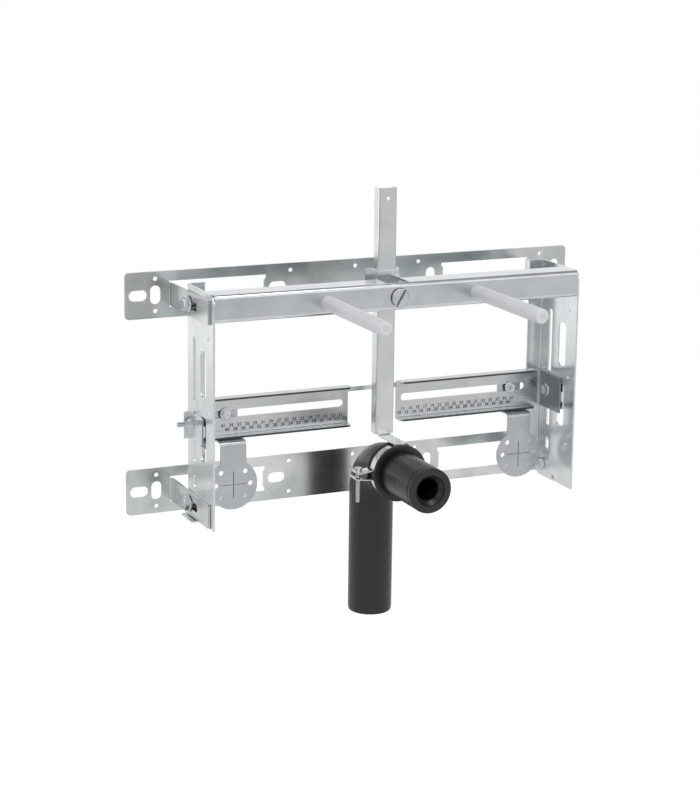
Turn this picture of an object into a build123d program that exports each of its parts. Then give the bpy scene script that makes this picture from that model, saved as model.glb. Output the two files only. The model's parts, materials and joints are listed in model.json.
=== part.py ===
from build123d import *
import os

# Installation frame for a wall-hung bidet, in millimetres.
# X runs along the wall, the wall is the plane Y = 0 with the room at -Y, and Z is up.
# The origin is the middle of the upper wall rail's rear face. Distances called out or
# reach are measured forward from the wall.

# Clearances
slide_gap = 0.3  # between faces that slide on each other
hole_gap = 0.2  # round a screw in its hole

# Wall rails
rail_length = 550
rail_height = 52
rail_sheet = 2.5
rail_corner = 5
rail_spacing = 222
wall_slot_length = 21
wall_slot_width = 12
end_slot_inset = 15  # from the rail's end to the middle of its last slot
next_slot_inset = 35
inner_slot_place = 95.7
nail_hole = 5
nail_column_place = 80
nail_row_spacing = 36
window_start = 111.7
window_end = 224
window_height = 29.3
window_ear = 2
ear_height = 5

# Arms bent forward out of the windows
arm_height = 26
arm_out = 120.5
arm_bend = 1.2
arm_corner = 2
arm_hole = 4
arm_hole_out = 27.5
arm_slot_start = 40.5
arm_slot_end = 87.5
arm_slot_width = 9

# Uprights
upright_face = 220  # outer face of the web, from the middle
upright_sheet = 2
upright_back = 48.5
upright_front = 129.5
upright_flange = 20
upright_top = 20
upright_foot = -236
upright_corner = 10
sheet_bend = 1
foot_notch_height = 6
foot_notch_end = 92
lip_end = 84.5
lip_width = 8
wide_slot_width = 17
wide_slot_out = 99
wide_slot_corner = 5
wide_slots = ((-45.5, -96), (-117, -166.5))
narrow_slot_width = 7.5
narrow_slot_out = 72
narrow_slots = ((-34, -109), (-117, -174), (-187, -202.5))
pin_hole = 4
pin_hole_out = 114.5
pin_hole_heights = (-28.5, -107.5, -186)

# Crossbar
crossbar_height = 30
crossbar_depth = 30
crossbar_sheet = 2
crossbar_bend = 2.5
top_notch_width = 27
top_notch_depth = 25

# Screws: thread, hexagon across flats, head height, flange size and thickness
lock_thread = 8
lock_hexagon = 13
lock_head = 5.5
lock_washer = 18
lock_washer_thickness = 1.6
lock_nut_height = 6.5
lock_out = 62.5
screw_thread = 6
screw_hexagon = 10
screw_head = 4
screw_flange = 14
screw_flange_thickness = 1.5
screw_nut_height = 5

# Fixing rods of the bidet
rod_spacing = 180
rod_height = 4
rod_thread = 12
rod_tip = 276
rod_tail = 105
rod_nut_hexagon = 19
rod_nut_height = 10
sleeve_diameter = 16
sleeve_bore_gap = 0.2

# Channel that carries the drain, its guide on the crossbar and the clamping screw
drain_place = -4.5  # sideways place of the channel, the clamp and the drain
channel_width = 22
channel_depth = 13
channel_sheet = 1.5
channel_top = 120
channel_bottom = -156
channel_hole = 4
channel_hole_height = 108
guide_sheet = 2
guide_top = 29
guide_bottom = -10
guide_ear = 7
clamp_thread = 10
clamp_head = 21
clamp_head_height = 3
clamp_head_edge = 1.2
clamp_slot_width = 2
clamp_slot_depth = 1.4
clamp_slot_angle = 60
clamp_height = 4.4

# Slotted rails, which carry the tap plates
slotted_start = 30
slotted_top = -107.5
slotted_height = 45.5
slotted_reach = 15.7
slotted_sheet = 2
slotted_end = 205
slotted_lip_corner = 6
plate_slot_start = 36
plate_slot_end = 196
plate_slot_width = 8.5
plate_slot_height = -128
elbow_top = -111
elbow_height = 41
elbow_reach = 49.7
elbow_screw_height = -130
elbow_screw_tip = 240
tie_end_gap = 5  # between the strip's ends and the uprights' flanges
tie_top = -111
tie_height = 5
tie_sheet = 2

# Clamp plates outside the uprights
plate_sheet = 2
clamp_plate_back = 62.5
clamp_plate_front = 100.5
clamp_plate_top = -118
clamp_plate_height = 30
clamp_leg = 9
tongue_reach = 2.1
tongue_top = -127
tongue_height = 12

# Tap plates
tap_place = 177
tap_width = 30
tap_top = -121
tap_out = 77.5  # front face of the disc
disc_diameter = 56
disc_height = -202
tap_sheet = 2
tap_hole = 5.5
tap_circle = 40
tap_angles = (0, 45, 135, 180, 225, 315)
mark_length = 30
mark_width = 0.8
mark_depth = 0.4

# Drain bend, its clamp and the inlet seal
pipe_diameter = 50
pipe_wall = 2.5
pipe_out = 64
pipe_bottom = -370.5
drain_height = -191
bend_radius = 40
inlet_out = 213.5
seal_rim = 4
seal_depth = 33.5
seal_bore = 32
seal_lead = 1.5
lining_front = 139.5
lining_width = 21
lining_flange = 3
lining_diameter = 64
band_inner_diameter = 58
band_sheet = 1.5
band_ear_reach = 53.5
band_ear_gap = 5
closing_thread = 5
closing_hexagon = 8
closing_head = 4
closing_washer = 11
closing_washer_thickness = 1
closing_place = 46.5  # from the middle of the drain
closing_tip = -221
foot_width = 14
foot_sheet = 2
foot_top = -125
rivet_diameter = 8


def keep(piece, name):
    """Label a finished piece and write it under its name."""
    piece.label = name
    export_step(piece, f"parts/{name}.step")


def keep_pair(piece, name):
    """Keep a right-hand piece, and its mirror image on the left."""
    keep(piece, f"right_{name}")
    keep(mirror(piece, about=Plane.YZ), f"left_{name}")


def bent_strip(path, outer_bend, sheet, side):
    """Profile of bent sheet: a path with round corners, thickened to one side."""
    with BuildSketch() as strip:
        with BuildLine():
            FilletPolyline(*path, radius=outer_bend)
            offset(amount=sheet, side=side)
        make_face()
    return strip.sketch


def hexagon(across_flats):
    """A hexagon with its flats that far apart."""
    with BuildSketch() as outline:
        RegularPolygon(across_flats / 2, 6, major_radius=False)
    return outline.sketch


def flange_screw(seat, thread, flats, head, flange, flange_thickness, length):
    """A hexagon screw with a flange: its shank leaves the seat along the plane's normal."""
    with BuildPart() as screw:
        with BuildSketch(seat):
            Circle(thread / 2)
        extrude(amount=length)
        with BuildSketch(seat):
            Circle(flange / 2)
        extrude(amount=-flange_thickness)
        with BuildSketch(seat.offset(-flange_thickness)):
            add(hexagon(flats))
        extrude(amount=-head)
    return screw.part


def hexagon_nut(seat, thread, flats, height):
    """A hexagon nut that stands on its seat, bored for its thread."""
    with BuildPart() as nut:
        with BuildSketch(seat):
            add(hexagon(flats))
            Circle(thread / 2 + slide_gap / 3, mode=Mode.SUBTRACT)
        extrude(amount=height)
    return nut.part


os.makedirs("parts", exist_ok=True)


def wall_rail(level):
    """A wall rail with its slots and windows, and the arms bent out of the windows."""
    arm_inner = upright_face + slide_gap
    end_slot = rail_length / 2 - end_slot_inset
    next_slot = rail_length / 2 - next_slot_inset
    nail_columns = (-next_slot, -nail_column_place, 0, nail_column_place, next_slot)
    with BuildPart() as rail:
        with BuildSketch(Plane.XZ):
            with Locations((0, level)):
                RectangleRounded(rail_length, rail_height, rail_corner)
            with Locations(*[(x, level) for x in (-end_slot, -inner_slot_place, next_slot)]):
                SlotOverall(wall_slot_length, wall_slot_width, mode=Mode.SUBTRACT)
            with Locations(*[(x, level) for x in (-next_slot, inner_slot_place, end_slot)]):
                SlotOverall(wall_slot_length, wall_slot_width, 90, mode=Mode.SUBTRACT)
            for row in (-nail_row_spacing / 2, nail_row_spacing / 2):
                with Locations(*[(x, level + row) for x in nail_columns]):
                    Circle(nail_hole / 2, mode=Mode.SUBTRACT)
            for side in (-1, 1):
                with Locations((side * (window_start + window_end) / 2, level)):
                    Rectangle(window_end - window_start, window_height, mode=Mode.SUBTRACT)
                ear_level = (window_height - ear_height) / 2
                with Locations(
                    (side * window_start, level - ear_level), (side * window_start, level + ear_level)
                ):
                    Rectangle(2 * window_ear, ear_height, mode=Mode.SUBTRACT)
        extrude(amount=rail_sheet)
        with BuildSketch(Plane.XY.offset(level - arm_height / 2)):
            add(
                bent_strip(
                    [(window_end + rail_sheet, 0), (arm_inner, 0), (arm_inner, -arm_out)],
                    arm_bend + rail_sheet,
                    rail_sheet,
                    Side.LEFT,
                )
            )
            mirror(about=Plane.YZ)
        extrude(amount=arm_height)
        tip_corners = rail.edges().filter_by(Axis.X).group_by(Axis.Y)[0]
        fillet(tip_corners, arm_corner)
        with BuildSketch(Plane.YZ):
            with Locations((-arm_hole_out, level)):
                Circle(arm_hole / 2)
            with Locations((-(arm_slot_start + arm_slot_end) / 2, level)):
                SlotOverall(arm_slot_end - arm_slot_start, arm_slot_width)
        extrude(amount=rail_length / 2, both=True, mode=Mode.SUBTRACT)
    return rail.part


keep(wall_rail(0), "upper_wall_rail")
keep(wall_rail(-rail_spacing), "lower_wall_rail")

# Uprights: an L section whose web carries the slots for the tap carrier
web_inner = upright_face - upright_sheet
bend_outer = sheet_bend + upright_sheet
notch_top = upright_foot + foot_notch_height
with BuildPart() as upright:
    with BuildSketch(Plane.XY.offset(upright_foot)):
        add(
            bent_strip(
                [
                    (upright_face - upright_flange, -upright_back),
                    (upright_face, -upright_back),
                    (upright_face, -upright_front),
                ],
                bend_outer,
                upright_sheet,
                Side.RIGHT,
            )
        )
    extrude(amount=upright_top - upright_foot)
    front_edges = upright.edges().filter_by(Axis.X).group_by(Axis.Y)[0]
    fillet(front_edges.sort_by(Axis.Z)[-1], upright_corner)
    with BuildSketch(Plane.XZ.offset(upright_back - sheet_bend)):
        with Locations((upright_face - upright_flange, upright_foot)):
            Rectangle(2 * upright_flange, foot_notch_height, align=(Align.MIN, Align.MIN))
    extrude(amount=foot_notch_end - upright_back + sheet_bend, mode=Mode.SUBTRACT)
    lip_face = upright_foot - upright_sheet
    with BuildSketch(Plane.XZ.offset(upright_back + upright_sheet)):
        add(
            bent_strip(
                [(web_inner, notch_top), (web_inner, lip_face), (upright_face + lip_width, lip_face)],
                bend_outer,
                upright_sheet,
                Side.LEFT,
            )
        )
    extrude(amount=lip_end - upright_back - upright_sheet)
    with BuildSketch(Plane.YZ.offset(web_inner)):
        for top, bottom in wide_slots:
            with Locations((-wide_slot_out, (top + bottom) / 2)):
                RectangleRounded(wide_slot_width, top - bottom, wide_slot_corner)
        for top, bottom in narrow_slots:
            with Locations((-narrow_slot_out, (top + bottom) / 2)):
                SlotOverall(top - bottom, narrow_slot_width, 90)
        with Locations(*[(-pin_hole_out, height) for height in pin_hole_heights]):
            Circle(pin_hole / 2)
        with Locations((-lock_out, 0), (-lock_out, -rail_spacing)):
            Circle(lock_thread / 2 + hole_gap)
    extrude(amount=upright_sheet, mode=Mode.SUBTRACT)
keep_pair(upright.part, "upright")

# Crossbar: a channel open to the wall, between the webs
crossbar_back = upright_front - crossbar_depth
crossbar_bottom = upright_top - crossbar_height
with BuildPart() as crossbar:
    with BuildSketch(Plane.YZ):
        add(
            bent_strip(
                [
                    (-crossbar_back, upright_top),
                    (-upright_front, upright_top),
                    (-upright_front, crossbar_bottom),
                    (-crossbar_back, crossbar_bottom),
                ],
                crossbar_bend + crossbar_sheet,
                crossbar_sheet,
                Side.LEFT,
            )
        )
    extrude(amount=web_inner, both=True)
    with BuildSketch(Plane.XZ.offset(upright_front)):
        with Locations((-rod_spacing / 2, rod_height), (rod_spacing / 2, rod_height)):
            Circle(rod_thread / 2 + hole_gap)
        with Locations((drain_place, clamp_height)):
            Circle(clamp_thread / 2 + hole_gap)
    extrude(amount=-crossbar_sheet, mode=Mode.SUBTRACT)
    with BuildSketch(Plane.XY.offset(upright_top)):
        with Locations((drain_place, -crossbar_back)):
            Rectangle(top_notch_width, top_notch_depth, align=(Align.CENTER, Align.MAX))
    extrude(amount=-crossbar_sheet, mode=Mode.SUBTRACT)
keep(crossbar.part, "crossbar")

# Screws that lock the uprights in the slots of the arms, with nuts inside the webs
washer_seat = upright_face + slide_gap + rail_sheet + slide_gap
for level, place in ((0, "upper"), (-rail_spacing, "lower")):
    head_seat = Plane(origin=(washer_seat, -lock_out, level), x_dir=(0, 1, 0), z_dir=(-1, 0, 0))
    shank = washer_seat - web_inner + lock_nut_height + upright_sheet
    lock_screw = flange_screw(
        head_seat, lock_thread, lock_hexagon, lock_head, lock_washer, lock_washer_thickness, shank
    )
    nut_seat = Plane(origin=(web_inner, -lock_out, level), x_dir=(0, 1, 0), z_dir=(-1, 0, 0))
    lock_nut = hexagon_nut(nut_seat, lock_thread, lock_hexagon, lock_nut_height)
    keep_pair(lock_screw, f"{place}_lock_screw")
    keep_pair(lock_nut, f"{place}_lock_nut")

# Fixing rods with their plastic sleeves in front and their nuts behind the crossbar's face
rod_axis = Plane(origin=(rod_spacing / 2, 0, rod_height), x_dir=(1, 0, 0), z_dir=(0, -1, 0))
with BuildPart() as rod:
    with BuildSketch(rod_axis.offset(rod_tail)):
        Circle(rod_thread / 2)
    extrude(amount=rod_tip - rod_tail)
    chamfer(rod.edges().filter_by(GeomType.CIRCLE), slide_gap * 3)
keep_pair(rod.part, "fixing_rod")

with BuildPart() as sleeve:
    with BuildSketch(rod_axis.offset(upright_front)):
        Circle(sleeve_diameter / 2)
        Circle(rod_thread / 2 + sleeve_bore_gap, mode=Mode.SUBTRACT)
    extrude(amount=rod_tip - upright_front)
keep_pair(sleeve.part, "rod_sleeve")

rod_nut_seat = rod_axis.offset(upright_front - crossbar_sheet - rod_nut_height)
keep_pair(hexagon_nut(rod_nut_seat, rod_thread, rod_nut_hexagon, rod_nut_height), "rod_nut")

# Guide on the back of the crossbar, round the drain channel
guide_front = crossbar_back
guide_width = channel_width + 2 * slide_gap + 2 * guide_sheet
guide_depth = channel_depth + 2 * slide_gap + 2 * guide_sheet
guide_rear = guide_front - guide_depth
with BuildPart() as guide:
    with BuildSketch(Plane.XY.offset(guide_bottom)):
        with Locations((drain_place, -guide_front)):
            Rectangle(guide_width, guide_depth, align=(Align.CENTER, Align.MIN))
        with Locations((drain_place, -guide_rear)):
            Rectangle(guide_width + 2 * guide_ear, guide_sheet, align=(Align.CENTER, Align.MAX))
        with Locations((drain_place, -(guide_front + guide_rear) / 2)):
            Rectangle(
                guide_width - 2 * guide_sheet, guide_depth - 2 * guide_sheet, mode=Mode.SUBTRACT
            )
    extrude(amount=guide_top - guide_bottom)
    with BuildSketch(Plane.XZ.offset(guide_front)):
        with Locations((drain_place, clamp_height)):
            Circle(clamp_thread / 2 + hole_gap)
    extrude(amount=-guide_sheet, mode=Mode.SUBTRACT)
keep(guide.part, "channel_guide")

channel_face = guide_front - guide_sheet - slide_gap
clamp_axis = Plane(origin=(drain_place, 0, clamp_height), x_dir=(1, 0, 0), z_dir=(0, -1, 0))
with BuildPart() as clamp_screw:
    with BuildSketch(clamp_axis.offset(channel_face + slide_gap)):
        Circle(clamp_thread / 2)
    extrude(amount=upright_front - channel_face - slide_gap)
    with BuildSketch(clamp_axis.offset(upright_front)):
        Circle(clamp_head / 2)
    extrude(amount=clamp_head_height)
    chamfer(clamp_screw.faces().sort_by(Axis.Y)[0].edges(), clamp_head_edge)
    with BuildSketch(clamp_axis.offset(upright_front + clamp_head_height)):
        Rectangle(clamp_head, clamp_slot_width, rotation=clamp_slot_angle)
    extrude(amount=-clamp_slot_depth, mode=Mode.SUBTRACT)
keep(clamp_screw.part, "channel_clamp_screw")

# Slotted rail: a channel with its lips forward, whose outer end is bent to an elbow plate
slotted_back = upright_back + upright_sheet + slide_gap
slotted_bottom = slotted_top - slotted_height
elbow_face = web_inner - slide_gap
with BuildPart() as slotted_rail:
    with BuildSketch(Plane.YZ.offset(slotted_start)):
        lip_edge = slotted_back + slotted_reach
        add(
            bent_strip(
                [
                    (-lip_edge, slotted_top),
                    (-slotted_back, slotted_top),
                    (-slotted_back, slotted_bottom),
                    (-lip_edge, slotted_bottom),
                ],
                sheet_bend + slotted_sheet,
                slotted_sheet,
                Side.RIGHT,
            )
        )
    extrude(amount=slotted_end - slotted_start)
    lip_corners = slotted_rail.edges().filter_by(Axis.Z).group_by(Axis.Y)[0]
    fillet(lip_corners, slotted_lip_corner)
    with BuildSketch(Plane.XY.offset(elbow_top - elbow_height)):
        add(
            bent_strip(
                [
                    (slotted_end - slotted_reach, -slotted_back),
                    (elbow_face, -slotted_back),
                    (elbow_face, -slotted_back - elbow_reach),
                ],
                sheet_bend + slotted_sheet,
                slotted_sheet,
                Side.RIGHT,
            )
        )
    extrude(amount=elbow_height)
    with BuildSketch(Plane.XZ.offset(slotted_back)):
        with Locations(((plate_slot_start + plate_slot_end) / 2, plate_slot_height)):
            SlotOverall(plate_slot_end - plate_slot_start, plate_slot_width)
    extrude(amount=slotted_sheet, mode=Mode.SUBTRACT)
    with BuildSketch(Plane.YZ.offset(elbow_face)):
        with Locations((-narrow_slot_out, elbow_screw_height)):
            Circle(screw_thread / 2 + hole_gap)
    extrude(amount=-slotted_sheet, mode=Mode.SUBTRACT)
keep_pair(slotted_rail.part, "slotted_rail")

tie_half_length = upright_face - upright_flange - tie_end_gap
with BuildPart() as tie_strip:
    with BuildSketch(Plane.XZ.offset(slotted_back - tie_sheet)):
        with Locations((0, tie_top)):
            Rectangle(2 * tie_half_length, tie_height, align=(Align.CENTER, Align.MAX))
    extrude(amount=tie_sheet)
keep(tie_strip.part, "tie_strip")

# Clamp plate outside the web, with a tongue in the wide slot and a leg bent outward
clamp_plate_inner = upright_face + slide_gap
with BuildPart() as clamp_plate:
    with BuildSketch(Plane.XY.offset(clamp_plate_top - clamp_plate_height)):
        add(
            bent_strip(
                [
                    (clamp_plate_inner, -clamp_plate_front),
                    (clamp_plate_inner, -clamp_plate_back),
                    (clamp_plate_inner + clamp_leg, -clamp_plate_back),
                ],
                sheet_bend + plate_sheet,
                plate_sheet,
                Side.RIGHT,
            )
        )
    extrude(amount=clamp_plate_height)
    with BuildSketch(Plane.XY.offset(tongue_top - tongue_height)):
        with Locations((clamp_plate_inner, -clamp_plate_front)):
            Rectangle(tongue_reach, plate_sheet, align=(Align.MAX, Align.MIN))
    extrude(amount=tongue_height)
    with BuildSketch(Plane.YZ.offset(clamp_plate_inner)):
        with Locations((-narrow_slot_out, elbow_screw_height)):
            Circle(screw_thread / 2 + hole_gap)
    extrude(amount=plate_sheet, mode=Mode.SUBTRACT)
keep_pair(clamp_plate.part, "clamp_plate")

elbow_seat = Plane(
    origin=(elbow_face - slotted_sheet, -narrow_slot_out, elbow_screw_height),
    x_dir=(0, 1, 0),
    z_dir=(1, 0, 0),
)
elbow_screw = flange_screw(
    elbow_seat,
    screw_thread,
    screw_hexagon,
    screw_head,
    screw_flange,
    screw_flange_thickness,
    elbow_screw_tip - elbow_face + slotted_sheet,
)
keep_pair(elbow_screw, "elbow_screw")
elbow_nut_seat = Plane(
    origin=(clamp_plate_inner + plate_sheet, -narrow_slot_out, elbow_screw_height),
    x_dir=(0, 1, 0),
    z_dir=(1, 0, 0),
)
keep_pair(hexagon_nut(elbow_nut_seat, screw_thread, screw_hexagon, screw_nut_height), "elbow_nut")

# Tap plate: an upstand behind the slotted rail, a shelf under its lip and a round plate
tap_front = slotted_back - slide_gap
tap_back = tap_front - tap_sheet
shelf_bottom = slotted_bottom - slide_gap - tap_sheet
disc_back = tap_out - tap_sheet
with BuildPart() as tap_plate:
    with BuildSketch(Plane.YZ.offset(tap_place - tap_width / 2)):
        add(
            bent_strip(
                [
                    (-tap_back, tap_top),
                    (-tap_back, shelf_bottom),
                    (-disc_back, shelf_bottom),
                    (-disc_back, disc_height),
                ],
                sheet_bend + tap_sheet,
                tap_sheet,
                Side.RIGHT,
            )
        )
    extrude(amount=tap_width)
    with BuildSketch(Plane.XZ.offset(disc_back)):
        with Locations((tap_place, disc_height)):
            Circle(disc_diameter / 2)
    extrude(amount=tap_sheet)
    with BuildSketch(Plane.XZ.offset(disc_back)):
        with Locations((tap_place, disc_height)):
            for angle in tap_angles:
                with PolarLocations(tap_circle / 2, 1, start_angle=angle):
                    Circle(tap_hole / 2)
    extrude(amount=tap_sheet, mode=Mode.SUBTRACT)
    with BuildSketch(Plane.XZ.offset(tap_out)):
        with Locations((tap_place, disc_height)):
            Rectangle(mark_length, mark_width)
            Rectangle(mark_width, mark_length)
    extrude(amount=-mark_depth, mode=Mode.SUBTRACT)
    with BuildSketch(Plane.XZ.offset(tap_back)):
        with Locations((tap_place, plate_slot_height)):
            Circle(screw_thread / 2 + hole_gap)
    extrude(amount=tap_sheet, mode=Mode.SUBTRACT)
keep_pair(tap_plate.part, "tap_plate")

plate_screw_out = slotted_back + slotted_sheet + slide_gap
plate_screw_seat = Plane(
    origin=(tap_place, -plate_screw_out, plate_slot_height), x_dir=(1, 0, 0), z_dir=(0, 1, 0)
)
plate_screw = flange_screw(
    plate_screw_seat,
    screw_thread,
    screw_hexagon,
    screw_head,
    screw_flange,
    screw_flange_thickness,
    plate_screw_out - tap_back + screw_nut_height + screw_flange_thickness,
)
keep_pair(plate_screw, "plate_screw")
plate_nut_seat = Plane(
    origin=(tap_place, -tap_back, plate_slot_height), x_dir=(1, 0, 0), z_dir=(0, 1, 0)
)
keep_pair(hexagon_nut(plate_nut_seat, screw_thread, screw_hexagon, screw_nut_height), "plate_nut")

# Drain channel: a flat face forward, its sides towards the wall
channel_left = drain_place - channel_width / 2
channel_right = drain_place + channel_width / 2
channel_back = channel_face - channel_depth
with BuildPart() as channel:
    with BuildSketch(Plane.XY.offset(channel_bottom)):
        add(
            bent_strip(
                [
                    (channel_left, -channel_back),
                    (channel_left, -channel_face),
                    (channel_right, -channel_face),
                    (channel_right, -channel_back),
                ],
                sheet_bend + channel_sheet,
                channel_sheet,
                Side.LEFT,
            )
        )
    extrude(amount=channel_top - channel_bottom)
    with BuildSketch(Plane.XZ.offset(channel_face)):
        with Locations((drain_place, channel_hole_height)):
            Circle(channel_hole / 2)
    extrude(amount=-channel_sheet, mode=Mode.SUBTRACT)
keep(channel.part, "drain_channel")

# Pipe clamp: a foot in the channel, a steel band with two ears, and its rubber lining
band_outer = band_inner_diameter / 2 + band_sheet
band_width = lining_width - 2 * lining_flange
band_front = lining_front - lining_flange
foot_bottom = drain_height + lining_diameter / 2
foot_back = channel_face - channel_sheet - foot_sheet
with BuildPart() as foot:
    with BuildSketch(Plane.YZ.offset(drain_place - foot_width / 2)):
        add(
            bent_strip(
                [(-foot_back, foot_top), (-foot_back, foot_bottom), (-band_front, foot_bottom)],
                sheet_bend + foot_sheet,
                foot_sheet,
                Side.RIGHT,
            )
        )
    extrude(amount=foot_width)
    with BuildSketch(Plane.XY.offset(foot_bottom)):
        with Locations((drain_place, -band_front + band_width / 2)):
            Circle(rivet_diameter / 2)
    extrude(amount=-(lining_diameter / 2 - band_inner_diameter / 2))
    with BuildSketch(Plane.XZ.offset(band_front - band_width)):
        with Locations((drain_place, drain_height)):
            Circle(band_outer)
    extrude(amount=band_width, mode=Mode.SUBTRACT)
keep(foot.part, "clamp_foot")

ear_sides = (1, -1)
with BuildPart() as band:
    with BuildSketch(Plane.XZ.offset(band_front - band_width)):
        with Locations((drain_place, drain_height)):
            Circle(band_outer)
            Circle(band_inner_diameter / 2, mode=Mode.SUBTRACT)
            Rectangle(
                band_ear_reach, band_ear_gap, align=(Align.MAX, Align.CENTER), mode=Mode.SUBTRACT
            )
        ear_start = drain_place - band_inner_diameter / 2
        for side in ear_sides:
            ear_level = drain_height + side * (band_ear_gap + band_sheet) / 2
            with Locations((ear_start, ear_level)):
                Rectangle(
                    band_ear_reach - band_inner_diameter / 2,
                    band_sheet,
                    align=(Align.MAX, Align.CENTER),
                )
    extrude(amount=band_width)
    with BuildSketch(Plane.XY.offset(drain_height)):
        with Locations((drain_place - closing_place, -band_front + band_width / 2)):
            Circle(closing_thread / 2 + hole_gap)
    extrude(amount=band_ear_gap, both=True, mode=Mode.SUBTRACT)
keep(band.part, "clamp_band")

with BuildPart() as lining:
    with BuildSketch(Plane.YZ.offset(drain_place)):
        with Locations((-lining_front, drain_height)):
            with Locations((0, pipe_diameter / 2)):
                Rectangle(
                    lining_width,
                    lining_diameter / 2 - pipe_diameter / 2,
                    align=(Align.MIN, Align.MIN),
                )
            with Locations((lining_flange, band_inner_diameter / 2)):
                Rectangle(
                    band_width, lining_diameter, align=(Align.MIN, Align.MIN), mode=Mode.SUBTRACT
                )
    revolve(axis=Axis((drain_place, 0, drain_height), (0, 1, 0)))
keep(lining.part, "clamp_lining")

closing_seat = Plane(
    origin=(
        drain_place - closing_place,
        -band_front + band_width / 2,
        drain_height + band_ear_gap / 2 + band_sheet,
    ),
    x_dir=(1, 0, 0),
    z_dir=(0, 0, -1),
)
closing_screw = flange_screw(
    closing_seat,
    closing_thread,
    closing_hexagon,
    closing_head,
    closing_washer,
    closing_washer_thickness,
    drain_height + band_ear_gap / 2 + band_sheet - closing_tip,
)
keep(closing_screw, "clamp_closing_screw")

# Drain bend: one tube from the outlet up and forward to the inlet
with BuildPart() as drain_bend:
    with BuildLine(Plane.YZ.offset(drain_place)) as drain_route:
        FilletPolyline(
            (-pipe_out, pipe_bottom),
            (-pipe_out, drain_height),
            (-inlet_out + seal_rim, drain_height),
            radius=bend_radius,
        )
    with BuildSketch(Plane(origin=drain_route.line @ 0, z_dir=drain_route.line % 0)):
        Circle(pipe_diameter / 2)
        Circle(pipe_diameter / 2 - pipe_wall, mode=Mode.SUBTRACT)
    sweep(path=drain_route.line)
keep(drain_bend.part, "drain_bend")

inlet_axis = Plane(origin=(drain_place, 0, drain_height), x_dir=(1, 0, 0), z_dir=(0, -1, 0))
with BuildPart() as seal:
    with BuildSketch(inlet_axis.offset(inlet_out - seal_depth)):
        Circle(pipe_diameter / 2 - pipe_wall)
    extrude(amount=seal_depth)
    with BuildSketch(inlet_axis.offset(inlet_out - seal_rim)):
        Circle(pipe_diameter / 2)
    extrude(amount=seal_rim)
    with BuildSketch(inlet_axis.offset(inlet_out - seal_depth)):
        Circle(seal_bore / 2)
    extrude(amount=seal_depth, mode=Mode.SUBTRACT)
    chamfer(seal.faces().sort_by(Axis.Y)[0].edges(), seal_lead)
keep(seal.part, "inlet_seal")
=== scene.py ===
"""Looks of an installation frame for a wall-hung bidet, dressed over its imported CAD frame.

Lengths are metres in the CAD frame: X along the wall, the wall is Y = 0 with the room at -Y, Z up.
MM turns millimetres to metres. New pieces are grids of points worked out as whole arrays: rows run
along a profile or a path, and columns run round it.
"""

import json
import math

import bmesh
import bpy
import numpy as np
from mathutils import Matrix, Vector

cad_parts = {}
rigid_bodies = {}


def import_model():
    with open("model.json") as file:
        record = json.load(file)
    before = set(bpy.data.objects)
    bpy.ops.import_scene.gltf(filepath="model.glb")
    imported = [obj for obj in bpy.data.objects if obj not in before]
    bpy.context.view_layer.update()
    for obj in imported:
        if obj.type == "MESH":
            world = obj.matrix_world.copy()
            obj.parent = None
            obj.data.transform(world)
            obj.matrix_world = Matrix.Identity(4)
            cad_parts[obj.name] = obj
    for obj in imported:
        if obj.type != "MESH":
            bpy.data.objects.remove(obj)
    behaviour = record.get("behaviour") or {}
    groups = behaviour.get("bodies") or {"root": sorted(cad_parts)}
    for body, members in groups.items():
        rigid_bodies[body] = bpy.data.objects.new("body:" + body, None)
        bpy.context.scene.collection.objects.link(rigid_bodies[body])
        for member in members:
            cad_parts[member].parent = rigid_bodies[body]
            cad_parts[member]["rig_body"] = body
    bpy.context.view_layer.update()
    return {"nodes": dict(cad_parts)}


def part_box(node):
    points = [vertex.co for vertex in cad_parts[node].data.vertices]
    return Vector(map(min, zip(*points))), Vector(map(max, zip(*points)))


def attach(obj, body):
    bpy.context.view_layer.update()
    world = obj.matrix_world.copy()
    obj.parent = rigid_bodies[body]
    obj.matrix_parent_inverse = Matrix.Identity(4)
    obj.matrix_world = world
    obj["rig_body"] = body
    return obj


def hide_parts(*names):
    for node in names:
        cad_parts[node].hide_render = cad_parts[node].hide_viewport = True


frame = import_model()

MM = 0.001
SIDES = ("left", "right")
LEVELS = ("upper", "lower")
FULL_TURN = 2 * math.pi
TO_ROOM, TO_WALL = (0, -1, 0), (0, 1, 0)


def put_in(name, data):
    """A new object in the scene, with its mesh, lamp or camera."""
    made = bpy.data.objects.new(name, data)
    bpy.context.scene.collection.objects.link(made)
    return made


# ---------------------------------------------------------------- camera

PHOTO_LONG_SIDE = 800  # pixels
FOCAL_LENGTH = 2056.7  # pixels
EYE = (-0.95766, -2.1022, 0.42607)
YAW, PITCH, ROLL = 0.4256, 0.2015, 0.0131  # radians: towards +X, downwards, over to the left
AXIS_ABOVE_MIDDLE = 80  # pixels between the optical axis and the picture's middle
SENSOR_WIDTH = 36  # millimetres

forward = np.array(
    (math.sin(YAW) * math.cos(PITCH), math.cos(YAW) * math.cos(PITCH), -math.sin(PITCH))
)
level_right = np.array((math.cos(YAW), -math.sin(YAW), 0))
level_up = np.cross(level_right, forward)
camera_right = level_right * math.cos(ROLL) + level_up * math.sin(ROLL)
camera_up = level_up * math.cos(ROLL) - level_right * math.sin(ROLL)

camera_data = bpy.data.cameras.new("photo_camera")
camera_data.sensor_width = SENSOR_WIDTH
camera_data.lens = SENSOR_WIDTH * FOCAL_LENGTH / PHOTO_LONG_SIDE
camera_data.shift_y = -AXIS_ABOVE_MIDDLE / PHOTO_LONG_SIDE
camera = put_in("photo_camera", camera_data)
camera.matrix_world = Matrix.Translation(EYE) @ Matrix(
    np.column_stack((camera_right, camera_up, -forward)).tolist()
).to_4x4()
bpy.context.scene.camera = camera

# ---------------------------------------------------------------- material tools


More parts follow.
